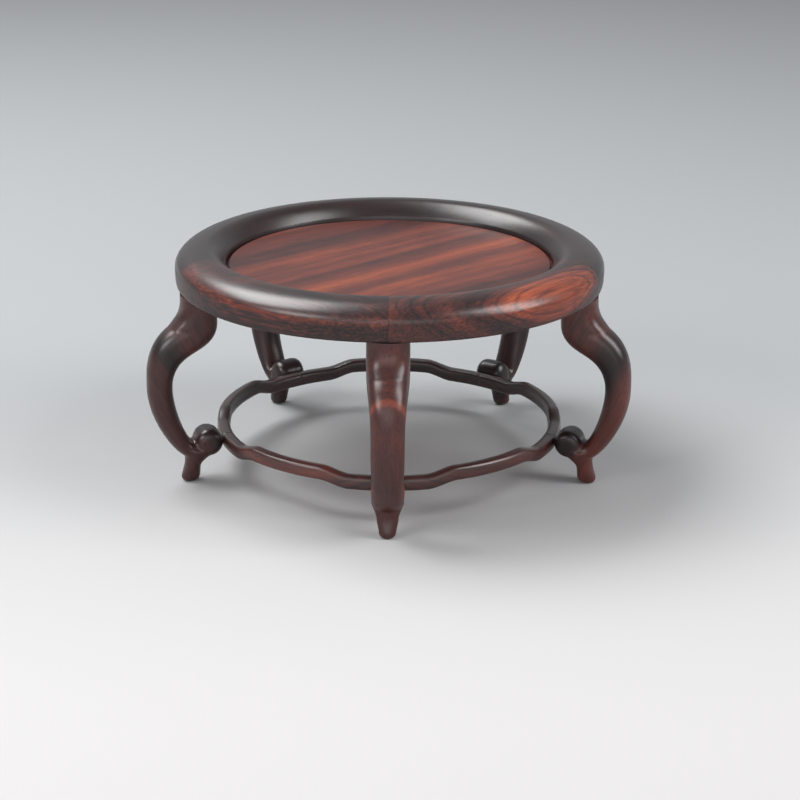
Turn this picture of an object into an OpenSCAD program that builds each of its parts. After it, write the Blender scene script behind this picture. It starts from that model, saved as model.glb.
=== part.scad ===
// Round display stand: a jointed rim round a sunk panel, bowed legs on peg feet, and humped stretchers.
// Millimetres, +Z up. The origin is on the table, under the middle of the panel.

/* [Stand] */
// Height from the table to the crest of the rim
stand_h = 64; // [54:0.5:90]
// Number of legs, rim pieces and stretchers
leg_count = 5; // [4:1:7]

/* [Rim] */
// Outer diameter at the rim's widest line
rim_d = 120; // [100:1:160]
// Width from the widest line to the panel opening
rim_w = 14.6; // [13:0.1:20]
// Height from the underside to the crest
rim_h = 10; // [9:0.1:14]
// Height of the widest line above the underside
rim_belly_h = 4.7; // [4:0.1:7]
// How far the lower edge is tucked in under the widest line
rim_tuck = 0.3; // [0:0.1:2]
// Distance from the panel opening out to the crest
rim_crest_in = 5.8; // [3:0.1:7]
// Height of the rounded inner lip
rim_lip_h = 4.2; // [1:0.1:4.6]
// How far the inner wall leans out from the panel opening to the lip
rim_lean = 0.5; // [0:0.1:1]
// Rounding of the lower outer edge
rim_edge_r = 0.5; // [0.2:0.1:1.6]

/* [Rim joints] */
// Length of a loose key across the joint of two rim pieces
key_l = 12; // [8:0.5:18]
// Width of the key, along the rim's own width
key_w = 5; // [3:0.1:6]
// Thickness of the key
key_t = 1.4; // [1:0.1:1.6]
// Wood between the key and the tenon under it
key_rise = 0.8; // [0.5:0.1:1.2]

/* [Panel] */
// Depth of the panel's face below the crest
panel_drop = 5; // [4:0.1:6]
// Thickness of the panel
panel_t = 3.4; // [3:0.1:4]
// Thickness of the tongue round the panel
tongue_t = 1.4; // [1:0.1:1.6]
// Reach of the tongue past the panel's face
tongue_l = 2.2; // [1.5:0.1:3]
// Rounding of the panel's upper edge
panel_edge_r = 0.4; // [0.2:0.1:0.6]

/* [Legs] */
// Thickness at the top, towards the middle of the stand
leg_top_t = 9.8; // [9:0.1:12]
// Width at the top, across the leg
leg_top_w = 11.5; // [9:0.1:13]
// How far the leg's top stands out past the rim's lower edge
leg_proud = 0.2; // [0:0.1:0.8]
// Length of the straight neck under the rim
neck_l = 7.6; // [2:0.1:9]
// Reach of the knee past the rim's widest line
knee_out = 10.1; // [5:0.1:14]
// Depth of the knee below the rim
knee_drop = 25.8; // [20:0.1:28]
// Thickness at the knee
knee_t = 7; // [5:0.1:8]
// Width at the knee
knee_w = 8.9; // [8:0.1:11]
// Thickness at the ankle
ankle_t = 4.7; // [4.5:0.1:7]
// Width at the ankle
ankle_w = 7.8; // [7:0.1:9]
// Pull of the curve below the neck
neck_pull = 5; // [3:0.1:12]
// Pull of the curve above the knee
knee_pull = 15.2; // [10:0.1:17]
// Pull of the curve below the knee
calf_pull = 8.6; // [6:0.1:12]
// Pull of the curve outside the foot
heel_pull = 1.8; // [1:0.1:6]
// Height of the leg's middle line where it turns in over the foot
curl_h = 9.7; // [9:0.1:11]
// Fullness of the section at the top, from an ellipse at 2 to a square
leg_top_full = 2.5; // [2:0.1:6]
// Fullness of the section from the knee down
calf_full = 2.2; // [2:0.1:4]

/* [Leg tenons] */
// Thickness of the tenon, towards the middle of the stand
tenon_t = 5; // [3:0.1:6]
// Width of the tenon, across the leg
tenon_w = 5; // [3:0.1:7]
// Length of the tenon
tenon_l = 4.8; // [3:0.1:5.2]

/* [Scrolls and feet] */
// Radius of the scroll
scroll_r = 3.9; // [3.4:0.1:4.6]
// Width of the scroll, across the leg
scroll_w = 9; // [8.6:0.1:11]
// Rounding of the scroll's edges
scroll_edge_r = 2.4; // [1:0.1:3]
// Height of the scroll's middle
scroll_h = 11.5; // [10.5:0.1:13]
// Distance from the foot in to the scroll's middle
scroll_in = 5.4; // [4:0.1:6]
// Distance of the feet inside the rim's widest line
foot_in = 1.2; // [0:0.1:4]
// Thickness of the peg foot at its swell, towards the middle of the stand
foot_t = 5.3; // [4:0.1:6]
// Width of the peg foot at its swell, across the leg
foot_w = 4.8; // [4:0.1:6]
// Thickness of the peg foot's neck
foot_neck_t = 4.5; // [4:0.1:5]
// Width of the peg foot's neck
foot_neck_w = 5.9; // [4:0.1:7]
// Height of the peg foot's neck
foot_neck_h = 4.6; // [4:0.1:6]
// Rounding of the peg foot's lower edge
foot_edge_r = 1.4; // [0.5:0.1:1.8]
// Kick of the peg foot outwards, from its neck down
foot_kick = 0.9; // [0:0.1:2]
// Flare of the peg foot inwards, up to the scroll
foot_web = 3.6; // [2:0.1:4]

/* [Stretchers] */
// Thickness of a stretcher, seen from above
stretcher_w = 3.7; // [3:0.1:5]
// Height of a stretcher's section
stretcher_t = 3.9; // [3:0.1:5]
// Height of the middle line at the legs
stretcher_h = 10.8; // [10:0.1:12]
// Rise of the middle line between the legs
stretcher_rise = 1.8; // [0.5:0.1:4]
// Length of the low seat at each leg
seat_l = 20.4; // [12:0.2:24]
// Length of each bend from the seat up to the hump
bend_l = 8.6; // [5:0.1:10]
// Fullness of the stretcher's section, from an ellipse at 2 to a square
stretcher_full = 3.4; // [2:0.1:6]

/* [Stretcher dowels] */
// Diameter of the dowel
dowel_d = 1.8; // [1.2:0.1:2.4]
// Depth of the dowel in the scroll
dowel_l = 3.6; // [2:0.1:5]
// Wood left in the stretcher behind the dowel
dowel_cover = 0.9; // [0.5:0.1:1.5]

/* [Fits] */
// Width of a glue line between flat faces
glue_gap = 0.04; // [0.02:0.01:0.1]
// Gap round the panel for the wood to move
panel_gap = 0.3; // [0.1:0.05:0.5]
// Play of the tongue in its groove, above and below
tongue_gap = 0.1; // [0.05:0.05:0.2]
// Neck between a scroll and the stretchers
scroll_gap = 0.3; // [0.1:0.05:0.5]
// Radial play round a dowel
dowel_gap = 0.03; // [0.01:0.01:0.06]

/* [Hidden] */
leg_step = 360 / leg_count;
first_leg = -90;
over = 0.5;
$fn = 96;

rim_wood = [0.29, 0.12, 0.09];
panel_wood = [0.36, 0.15, 0.11];
leg_wood = [0.23, 0.12, 0.11];
stretcher_wood = [0.25, 0.13, 0.11];
hidden_wood = [0.45, 0.3, 0.2];

rim_r = rim_d / 2;
rim_inner_r = rim_r - rim_w;
rim_z = stand_h - rim_h;
rim_crest_r = rim_inner_r + rim_crest_in;
rim_low_r = rim_r - rim_tuck;
rim_lip_r = rim_inner_r + rim_lean;
belly_z = rim_z + rim_belly_h;

panel_z = stand_h - panel_drop;
panel_r = rim_inner_r - panel_gap;
tongue_r = panel_r + tongue_l;
tongue_z = panel_z - panel_t / 2 - tongue_t / 2;

top_r = rim_low_r + leg_proud - leg_top_t / 2;
knee_r = rim_r + knee_out - knee_t / 2;
knee_z = rim_z - knee_drop;
foot_r = rim_r - foot_in;
scroll_c = foot_r - scroll_in;
key_z = rim_z + tenon_l + glue_gap + key_rise;

ring_out_r = scroll_c - scroll_r - scroll_gap;
ring_r = ring_out_r - stretcher_w / 2;

leg_sides = 16;
curve_steps = 11;
curl_steps = 5;
foot_steps = 8;
toe_steps = 4;
ring_steps = 36;
ring_sides = 16;
arc_steps = 12;
edge_steps = 4;
crest_steps = 16;

// Direction of a leg about the stand's axis
function leg_turn(i) = first_leg + (i - 1) * leg_step;

// Smooth change from 0 to 1
function ease(t) = let (c = min(max(t, 0), 1)) c * c * (3 - 2 * c);
function mix(a, b, t) = a + (b - a) * t;

// Point on a cubic curve, and the direction of the curve there
function curve(p, t) =
    let (u = 1 - t)
    u * u * u * p[0] + 3 * u * u * t * p[1] + 3 * u * t * t * p[2] + t * t * t * p[3];
function slope(p, t) =
    let (u = 1 - t, d = u * u * (p[1] - p[0]) + 2 * u * t * (p[2] - p[1]) + t * t * (p[3] - p[2]))
    d / norm(d);

// Quarter of an ellipse about a centre, from one angle to another
function arc(c, rx, ry, a0, a1, n = arc_steps) = [
    for (k = [0:n]) let (a = mix(a0, a1, k / n)) c + [rx * cos(a), ry * sin(a)]
];

// Rounded section of the leg or stretcher, as offsets across and along
function full_sign(v, n) = sign(v) * pow(abs(v), 2 / n);
function section(across, along, full, sides) = [
    for (k = [0:sides - 1])
        let (a = 360 * k / sides)
        [across / 2 * full_sign(cos(a), full), along / 2 * full_sign(sin(a), full)]
];

// Closed skin over a row of rings that all have the same number of points
module skin(rings) {
    n = len(rings[0]);
    last = len(rings) - 1;
    sides = [
        for (i = [0:last - 1], k = [0:n - 1])
            let (a = i * n + k, b = i * n + (k + 1) % n)
            each [[a, b, b + n], [a, b + n, a + n]]
    ];
    first_end = [for (k = [n - 1:-1:0]) k];
    last_end = [for (k = [0:n - 1]) last * n + k];
    polyhedron([for (r = rings) each r], concat(sides, [first_end], [last_end]));
}

// Rim section: a tucked lower edge, a full outer belly, a broad crest and a rounded inner lip
rim_outline = concat(
    [[rim_inner_r, rim_z]],
    arc([rim_low_r - rim_edge_r, rim_z + rim_edge_r], rim_edge_r, rim_edge_r, -90, 0, edge_steps),
    arc([rim_low_r, belly_z], rim_tuck, rim_belly_h - rim_edge_r, -90, 0),
    arc([rim_crest_r, belly_z], rim_r - rim_crest_r, stand_h - belly_z, 0, 90, crest_steps),
    arc([rim_crest_r, stand_h - rim_lip_h], rim_crest_r - rim_lip_r, rim_lip_h, 90, 180)
);

module groove_outline() {
    translate([0, tongue_z - tongue_gap]) square([tongue_r + panel_gap, tongue_t + 2 * tongue_gap]);
}

module mortise() {
    gap = 2 * glue_gap;
    translate([top_r - tenon_t / 2 - glue_gap, -tenon_w / 2 - glue_gap, rim_z - over])
        cube([tenon_t + gap, tenon_w + gap, tenon_l + glue_gap + over]);
}

module key_slot() {
    gap = 2 * glue_gap;
    translate([top_r - key_w / 2 - glue_gap, -key_l / 2 - glue_gap, key_z - glue_gap])
        cube([key_w + gap, key_l + gap, key_t + gap]);
}

module rim_segment(i) {
    joint = asin(glue_gap / 2 / rim_inner_r);
    color(rim_wood) difference() {
        rotate(leg_turn(i) + joint) rotate_extrude(angle = leg_step - 2 * joint) difference() {
            polygon(rim_outline);
            groove_outline();
        }
        for (end = [i, i + 1]) rotate(leg_turn(end)) {
            mortise();
            key_slot();
        }
    }
}

module rim_key(i) {
    color(hidden_wood) rotate(leg_turn(i)) translate([top_r - key_w / 2, -key_l / 2, key_z])
        cube([key_w, key_l, key_t]);
}

module top_panel() {
    outline = concat(
        [[0, panel_z - panel_t], [panel_r, panel_z - panel_t], [panel_r, tongue_z], [tongue_r, tongue_z]],
        [[tongue_r, tongue_z + tongue_t], [panel_r, tongue_z + tongue_t]],
        arc([panel_r - panel_edge_r, panel_z - panel_edge_r], panel_edge_r, panel_edge_r, 0, 90, edge_steps),
        [[0, panel_z]]
    );
    color(panel_wood) rotate_extrude() polygon(outline);
}

// Middle line of the leg: straight neck, sweep out to the knee, fall to the foot, and turn in to the scroll
knee_curve = [
    [top_r, rim_z - neck_l],
    [top_r, rim_z - neck_l - neck_pull],
    [knee_r, knee_z + knee_pull],
    [knee_r, knee_z]
];
calf_curve = [
    [knee_r, knee_z],
    [knee_r, knee_z - calf_pull],
    [foot_r + heel_pull, curl_h],
    [foot_r, curl_h]
];
curl_lead = scroll_in / 3;
curl_climb = (scroll_h - curl_h) / 2;
curl_curve = [
    [foot_r, curl_h],
    [foot_r - curl_lead, curl_h],
    [scroll_c + curl_lead, curl_h + curl_climb / 2],
    [scroll_c, curl_h + curl_climb]
];

// One ring of the leg: a rounded section set square to the middle line, in the leg's upright plane
function leg_ring(at, dir, t, w, full) = [
    for (s = section(t, w, full, leg_sides)) [at[0] - dir[1] * s[0], s[1], at[1] + dir[0] * s[0]]
];

// The leg keeps its thickness past the neck and thins late, close to the knee, but narrows sooner
knee_slow = [3.2, 1.4, 1.4];
even = [1, 1, 1];

top_size = [leg_top_t, leg_top_w, leg_top_full];
knee_size = [knee_t, knee_w, calf_full];
ankle_size = [ankle_t, ankle_w, calf_full];
curl_size = [scroll_r, scroll_w - scroll_edge_r, calf_full];

// Rings along one curve of the middle line, with a section that changes from one size to another
function leg_size(from, to, t, slow) = [
    for (k = [0:2]) mix(from[k], to[k], (1 - cos(180 * pow(t, slow[k]))) / 2)
];
function leg_stretch(line, from, to, first, steps, slow = even) = [
    for (k = [first:steps])
        let (t = k / steps, size = leg_size(from, to, t, slow))
        leg_ring(curve(line, t), slope(line, t), size[0], size[1], size[2])
];
leg_rings = concat(
    [leg_ring([top_r, rim_z - glue_gap], [0, -1], leg_top_t, leg_top_w, leg_top_full)],
    leg_stretch(knee_curve, top_size, knee_size, 0, curve_steps, knee_slow),
    leg_stretch(calf_curve, knee_size, ankle_size, 1, curve_steps),
    leg_stretch(curl_curve, ankle_size, curl_size, 1, curl_steps)
);

module scroll() {
    translate([scroll_c, scroll_w / 2, scroll_h]) rotate([90, 0, 0]) rotate_extrude() intersection() {
        square([scroll_r, scroll_w]);
        union() {
            square([scroll_r - scroll_edge_r, scroll_w]);
            translate([0, scroll_edge_r]) square([scroll_r, scroll_w - 2 * scroll_edge_r]);
            for (side = [scroll_edge_r, scroll_w - scroll_edge_r])
                translate([scroll_r - scroll_edge_r, side]) circle(scroll_edge_r);
        }
    }
}

// Peg foot: a rounded toe, a neck that kicks outwards, and a flare into the ankle and scroll
function toe_cut(z) = let (d = max(foot_edge_r - z, 0)) foot_edge_r - sqrt(pow(foot_edge_r, 2) - d * d);
function foot_ring(z) =
    let (
        neck = ease((z - foot_edge_r) / (foot_neck_h - foot_edge_r)),
        flare = ease((z - foot_neck_h) / (curl_h - foot_neck_h)),
        web = foot_web * flare,
        mid = foot_r - foot_kick * z / foot_neck_h - web / 2,
        t = mix(mix(foot_t, foot_neck_t, neck), ankle_t, flare) + web - 2 * toe_cut(z),
        w = mix(mix(foot_w, foot_neck_w, neck), scroll_w, flare) - 2 * toe_cut(z)
    )
    [for (s = section(t, w, calf_full, leg_sides)) [mid + s[0], s[1], z]];
foot_rings = concat(
    [for (k = [foot_steps:-1:0]) foot_ring(mix(foot_edge_r, curl_h, k / foot_steps))],
    [for (k = [1:toe_steps]) foot_ring(foot_edge_r * (1 - sin(90 * k / toe_steps)))]
);

module tenon() {
    translate([top_r - tenon_t / 2, -tenon_w / 2, rim_z - neck_l]) cube([tenon_t, tenon_w, neck_l + tenon_l]);
}

module dowel_rod(play) {
    start = ring_r - stretcher_w / 2 + dowel_cover;
    length = scroll_c - scroll_r + dowel_l - start;
    translate([start - play, 0, stretcher_h]) rotate([0, 90, 0])
        cylinder(r = dowel_d / 2 + play, h = length + 2 * play);
}

module leg(i) {
    color(leg_wood) rotate(leg_turn(i)) difference() {
        union() {
            skin(leg_rings);
            scroll();
            skin(foot_rings);
            tenon();
        }
        dowel_rod(dowel_gap);
    }
}

// Height of the stretcher's middle line at an angle from the nearer leg
function ring_z(a) = stretcher_h + stretcher_rise * ease((ring_r * a * PI / 180 - seat_l / 2) / bend_l);

module stretcher(i) {
    joint = asin(glue_gap / 2 / (ring_r - stretcher_w / 2));
    rings = [
        for (k = [0:ring_steps])
            let (a = mix(joint, leg_step - joint, k / ring_steps), z = ring_z(min(a, leg_step - a)))
            [
                for (s = section(stretcher_w, stretcher_t, stretcher_full, ring_sides))
                    [(ring_r + s[0]) * cos(a), (ring_r + s[0]) * sin(a), z + s[1]]
            ]
    ];
    color(stretcher_wood) difference() {
        rotate(leg_turn(i)) skin(rings);
        for (end = [i, i + 1]) rotate(leg_turn(end)) dowel_rod(dowel_gap);
    }
}

module stretcher_dowel(i) {
    color(hidden_wood) rotate(leg_turn(i)) dowel_rod(0);
}

top_panel();
for (i = [1:leg_count]) {
    rim_segment(i);
    rim_key(i);
    leg(i);
    stretcher(i);
    stretcher_dowel(i);
}
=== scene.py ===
# %% [markdown]
# # A round display stand in dark rosewood
# The real stand is small joinery: five curved rim pieces butted together round a sunk panel, five
# bowed legs cut from thick blocks, and five humped stretchers that tie the feet into a ring.
# The jointed solids come in from the frame at their true size. Each visible piece is then rebuilt
# here with a finer mesh, because polished wood shows every facet in its highlights.

# %% Load the frame
import math

import bmesh
import bpy
import numpy as np
from mathutils import Matrix, Vector


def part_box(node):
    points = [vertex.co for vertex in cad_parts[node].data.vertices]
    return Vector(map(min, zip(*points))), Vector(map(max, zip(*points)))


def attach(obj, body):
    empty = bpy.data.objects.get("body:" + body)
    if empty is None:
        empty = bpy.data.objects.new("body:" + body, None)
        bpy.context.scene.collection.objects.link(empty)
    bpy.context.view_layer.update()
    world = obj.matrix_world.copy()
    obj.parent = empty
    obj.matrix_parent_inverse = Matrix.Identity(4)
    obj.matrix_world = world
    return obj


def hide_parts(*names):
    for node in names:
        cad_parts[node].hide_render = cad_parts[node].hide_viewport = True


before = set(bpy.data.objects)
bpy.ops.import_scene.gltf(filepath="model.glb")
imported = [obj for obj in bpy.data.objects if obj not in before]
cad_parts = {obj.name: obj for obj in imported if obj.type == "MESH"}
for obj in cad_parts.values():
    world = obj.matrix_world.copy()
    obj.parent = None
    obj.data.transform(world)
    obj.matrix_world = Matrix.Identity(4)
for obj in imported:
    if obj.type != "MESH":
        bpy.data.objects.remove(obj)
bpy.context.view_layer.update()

MM = 0.001

# %% [markdown]
# ## Camera
# The photograph was taken with a longish lens from about twenty-one degrees above the table.
# A camera can be aimed by a constraint or by hand. Here its place and turn are written out, so that
# the picture never depends on another object.

# %% Camera
EYE = (3.29 * MM, -594.72 * MM, 227.39 * MM)
EYE_TURN = (math.radians(70.574), math.radians(-0.2786), math.radians(0.1174))
LENS, SENSOR_W, NEAREST = 99.0, 36.0, 0.01

camera = bpy.data.objects.new("camera", bpy.data.cameras.new("camera"))
camera.location = EYE
camera.rotation_euler = EYE_TURN
camera.data.lens = LENS
camera.data.sensor_width = SENSOR_W
camera.data.clip_start = NEAREST
bpy.context.scene.collection.objects.link(camera)
bpy.context.scene.camera = camera
print("camera:", LENS, "mm lens,", round(Vector(EYE).length / MM), "mm away")

# %% [markdown]
# ## Sections and lofts
# Nearly every piece of the stand is a section carried along a line: the rim round a circle, the leg
# down its bow. A curve object with a bevel could do that, but a loft written point by point keeps
# clean quads and exact ends.

# %% Sections and lofts
LEG_COUNT = 5
LEG_STEP = 360.0 / LEG_COUNT
FIRST_LEG = -90.0


def leg_turn(number):
    """Direction of a leg about the stand's axis, in degrees."""
    return FIRST_LEG + (number - 1) * LEG_STEP


def mix(a, b, t):
    """Part of the way from one value to another."""
    return a + (b - a) * t


def arc(centre, radii, start, end, steps):
    """Points on an ellipse from one angle to another, in degrees."""
    turns = np.radians(np.linspace(start, end, steps + 1))
    return [(centre[0] + radii[0] * math.cos(a), centre[1] + radii[1] * math.sin(a)) for a in turns]


def loft(rings):
    """Quads between neighbouring rings, and one face over each end."""
    rings = np.asarray(rings, float)
    count, sides, _ = rings.shape
    faces = []
    for i in range(count - 1):
        for k in range(sides):
            a, b = i * sides + k, i * sides + (k + 1) % sides
            faces.append((a, b, b + sides, a + sides))
    faces.append(tuple(range(sides - 1, -1, -1)))
    faces.append(tuple(range((count - 1) * sides, count * sides)))
    return rings.reshape(-1, 3), faces


print("legs stand every", LEG_STEP, "degrees, the first at", FIRST_LEG)

# %% [markdown]
# ## New pieces
# Points and faces alone are not yet a piece of the stand. It has to look smooth, except where the
# wood has a true edge, and it has to take the place of its jointed solid. Marking edges by hand would
# be slow, so every edge that bends more than a set angle is kept sharp.

# %% New pieces
CREASE, SOFT_CREASE = 35.0, 50.0


def new_piece(name, points, faces, crease=CREASE):
    """A smooth mesh from points in millimetres, with its faces turned outwards."""
    mesh = bpy.data.meshes.new(name)
    mesh.from_pydata((np.asarray(points) * MM).tolist(), [], faces)
    work = bmesh.new()
    work.from_mesh(mesh)
    bmesh.ops.recalc_face_normals(work, faces=work.faces)
    work.to_mesh(mesh)
    work.free()
    mesh.shade_smooth()
    mesh.set_sharp_from_angle(angle=math.radians(crease))
    piece = bpy.data.objects.new(name, mesh)
    bpy.context.scene.collection.objects.link(piece)
    return piece


def stand_in_for(piece, node):
    """Carry a finished piece on the stand's body, in place of its jointed solid."""
    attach(piece, "root")
    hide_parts(node)
    return piece


print("edges stay sharp beyond", CREASE, "degrees, or", SOFT_CREASE, "on rounder pieces")

# %% [markdown]
# ## Rim pieces
# Each rim piece is sawn to an arc from a board and shaped by scraper: tucked in below, full at the
# belly and broad on top. From the crest an open slope runs down to a lip at the panel, and under the
# lip a groove holds the panel's tongue.
# A lathe could turn the whole rim, but then it would be one piece. So the section is drawn once and
# swept from joint to joint. The joint over the front leg has opened to a fine line, and its edges are
# eased a little. The other four are still tight.

# %% The rim's section
STAND_H, RIM_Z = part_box("rim_segment_3")[1].z / MM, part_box("rim_segment_3")[0].z / MM
RIM_R, RIM_INNER_R, RIM_LIP_R = 60.0, 45.4, 45.9
RIM_LOW_R, RIM_CREST_R = 59.7, 51.2
BELLY_H, LIP_H, EDGE_R = 4.7, 4.2, 0.5
BELLY_Z = RIM_Z + BELLY_H
GROOVE_R, GROOVE_TOP, GROOVE_BOTTOM = 47.6, 5.9, 7.5
GROOVE_LOW_Z, GROOVE_HIGH_Z = STAND_H - GROOVE_BOTTOM, STAND_H - GROOVE_TOP
EDGE_STEPS, TUCK_STEPS, TOP_STEPS, SLOPE_STEPS = 8, 16, 44, 28


def wall_r(z):
    """Radius of the rim's leaning inner wall."""
    return mix(RIM_INNER_R, RIM_LIP_R, (z - RIM_Z) / (STAND_H - LIP_H - RIM_Z))


def inner_slope():
    """The slope from crest to lip. It steepens evenly, so it still lies open at the panel."""
    shares = np.linspace(0, 1, SLOPE_STEPS + 1)
    return [(mix(RIM_CREST_R, RIM_LIP_R, s), STAND_H - LIP_H * s**2) for s in shares]


def rim_section():
    """Outline as (radius, height): along the bottom, up over the belly and crest, down to the groove."""
    tuck = (RIM_R - RIM_LOW_R, BELLY_Z - RIM_Z - EDGE_R)
    top = (RIM_R - RIM_CREST_R, STAND_H - BELLY_Z)
    points = [(RIM_INNER_R, RIM_Z), (mix(RIM_INNER_R, RIM_LOW_R, 0.5), RIM_Z)]
    points += arc((RIM_LOW_R - EDGE_R, RIM_Z + EDGE_R), (EDGE_R, EDGE_R), -90, 0, EDGE_STEPS)
    points += arc((RIM_LOW_R, BELLY_Z), tuck, -90, 0, TUCK_STEPS)[1:]
    points += arc((RIM_CREST_R, BELLY_Z), top, 0, 90, TOP_STEPS)[1:]
    points += inner_slope()[1:]
    points += [(wall_r(GROOVE_HIGH_Z), GROOVE_HIGH_Z), (GROOVE_R, GROOVE_HIGH_Z)]
    points += [(GROOVE_R, GROOVE_LOW_Z), (wall_r(GROOVE_LOW_Z), GROOVE_LOW_Z)]
    return np.array(points)


print("rim section:", len(rim_section()), "points, from", round(RIM_Z, 1), "to", round(STAND_H, 1), "mm")

# %% Rim pieces
OPEN_EASE, TIGHT_EASE, OPEN_JOINT = 0.06, 0.01, 1
RIM_STEPS = 60


def inset(section, depth):
    """The section with every point drawn in square to its outline."""
    along = np.roll(section, -1, axis=0) - np.roll(section, 1, axis=0)
    along /= np.linalg.norm(along, axis=1, keepdims=True)
    return section + depth * np.stack([-along[:, 1], along[:, 0]], axis=1)


def rim_piece(number):
    """One rim piece, from its leg to the next, with both ends eased."""
    section = rim_section()
    first = OPEN_EASE if number == OPEN_JOINT else TIGHT_EASE
    last = OPEN_EASE if number % LEG_COUNT + 1 == OPEN_JOINT else TIGHT_EASE
    start, end = math.degrees(first / RIM_R), LEG_STEP - math.degrees(last / RIM_R)
    between = [(turn, 0.0) for turn in np.linspace(start, end, RIM_STEPS + 1)]
    rings = []
    for turn, depth in [(0.0, first), *between, (LEG_STEP, last)]:
        a = math.radians(leg_turn(number) + turn)
        r, z = inset(section, depth).T
        rings.append(np.stack([r * math.cos(a), r * math.sin(a), z], axis=1))
    piece = new_piece(f"rim_piece_{number}", *loft(rings))
    return stand_in_for(piece, f"rim_segment_{number}")


rim_pieces = [rim_piece(i) for i in range(1, LEG_COUNT + 1)]
print("rim:", len(rim_pieces), "pieces of", len(rim_pieces[0].data.polygons), "faces")

# %% [markdown]
# ## Panel
# The panel is a thin round board with a tongue all round its edge, left loose in the rim's groove so
# that it can swell and shrink. A flat disc would show the same from above. Turning its outline on an
# axis gives the true edge too, and rings across the face keep its triangles short.

# %% Panel
PANEL_Z, PANEL_LOW_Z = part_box("top_panel")[1].z / MM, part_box("top_panel")[0].z / MM
PANEL_R, TONGUE_R, PANEL_EDGE_R = 45.1, 47.3, 0.4
TONGUE_BOTTOM, TONGUE_TOP = 1.0, 2.4
TONGUE_LOW_Z, TONGUE_HIGH_Z = PANEL_LOW_Z + TONGUE_BOTTOM, PANEL_LOW_Z + TONGUE_TOP
FACE_RINGS, PANEL_EDGE_STEPS, PANEL_STEPS = 10, 6, 180


def lathe(outline, steps):
    """Turn an outline of (radius, height) about the upright axis; its two ends lie on the axis."""
    body = np.array(outline[1:-1], float)
    turns = 2 * np.pi * np.arange(steps) / steps
    points = [(r * math.cos(a), r * math.sin(a), z) for a in turns for r, z in body]
    low, high = len(points), len(points) + 1
    points += [(0.0, 0.0, outline[0][1]), (0.0, 0.0, outline[-1][1])]
    faces, n = [], len(body)
    for i in range(steps):
        a, b = i * n, (i + 1) % steps * n
        faces += [(a + k, b + k, b + k + 1, a + k + 1) for k in range(n - 1)]
        faces += [(low, b, a), (high, a + n - 1, b + n - 1)]
    return np.array(points), faces


def panel_outline():
    """Half of the panel's section, from the axis below to the axis above."""
    across = np.linspace(0.0, PANEL_R - PANEL_EDGE_R, FACE_RINGS + 1)
    edge = (PANEL_R - PANEL_EDGE_R, PANEL_Z - PANEL_EDGE_R)
    points = [(r, PANEL_LOW_Z) for r in across] + [(PANEL_R, PANEL_LOW_Z)]
    points += [(PANEL_R, TONGUE_LOW_Z), (TONGUE_R, TONGUE_LOW_Z)]
    points += [(TONGUE_R, TONGUE_HIGH_Z), (PANEL_R, TONGUE_HIGH_Z)]
    points += arc(edge, (PANEL_EDGE_R, PANEL_EDGE_R), 0, 90, PANEL_EDGE_STEPS)
    return points + [(r, PANEL_Z) for r in across[-2::-1]]


panel = new_piece("panel_board", *lathe(panel_outline(), PANEL_STEPS))
stand_in_for(panel, "top_panel")
print("panel:", len(panel.data.polygons), "faces, face at", round(PANEL_Z, 1), "mm")

# %% [markdown]
# ## The leg's line
# A leg is one carved block. From a square neck it sweeps out to the knee, falls to the ankle, and
# curls in to a scroll that rides on a small peg foot. A maker would saw it to a paper pattern.
# Here three cubic curves, end to end, are the pattern. Each has two pulls that set how long it keeps
# its first and last direction, so few numbers give a line without a kink.

# %% The leg's middle line
NECK_DROP, KNEE_DROP = 7.6, 25.8
TOP_R, NECK_Z = 55.0, RIM_Z - NECK_DROP
KNEE_R, KNEE_Z = 66.6, RIM_Z - KNEE_DROP
FOOT_R, CURL_Z = 58.8, 9.7
SCROLL_C, SCROLL_Z = 53.4, 11.5
NECK_PULL, KNEE_PULL, CALF_PULL, ANKLE_PULL = 5.0, 15.2, 8.6, 1.8
CURL_LEAD, CURL_CLIMB = 1.8, 0.9

knee_line = np.array([(TOP_R, NECK_Z), (TOP_R, NECK_Z - NECK_PULL),
                      (KNEE_R, KNEE_Z + KNEE_PULL), (KNEE_R, KNEE_Z)])
calf_line = np.array([(KNEE_R, KNEE_Z), (KNEE_R, KNEE_Z - CALF_PULL),
                      (FOOT_R + ANKLE_PULL, CURL_Z), (FOOT_R, CURL_Z)])
curl_line = np.array([(FOOT_R, CURL_Z), (FOOT_R - CURL_LEAD, CURL_Z),
                      (SCROLL_C + CURL_LEAD, CURL_Z + CURL_CLIMB / 2), (SCROLL_C, CURL_Z + CURL_CLIMB)])


def curve(p, t):
    """Point of a cubic curve."""
    u = 1 - t
    return u**3 * p[0] + 3 * u * u * t * p[1] + 3 * u * t * t * p[2] + t**3 * p[3]


def slope(p, t):
    """Direction of a cubic curve."""
    u = 1 - t
    d = u * u * (p[1] - p[0]) + 2 * u * t * (p[2] - p[1]) + t * t * (p[3] - p[2])
    return d / np.linalg.norm(d)


print("leg line: knee at", KNEE_R, "mm, scroll at", SCROLL_C, "mm from the axis")

# %% [markdown]
# ## Bow and scroll
# The bow is stout at the neck and thins to the ankle, and its corners are rounded all the way. The
# scroll is a round-edged drum that lies across its end.
# One tapering tube could stand for both, but it would look like bent pipe. So the bow's thickness,
# width and fullness change each at its own pace, and the drum is turned on its own axis.

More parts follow.
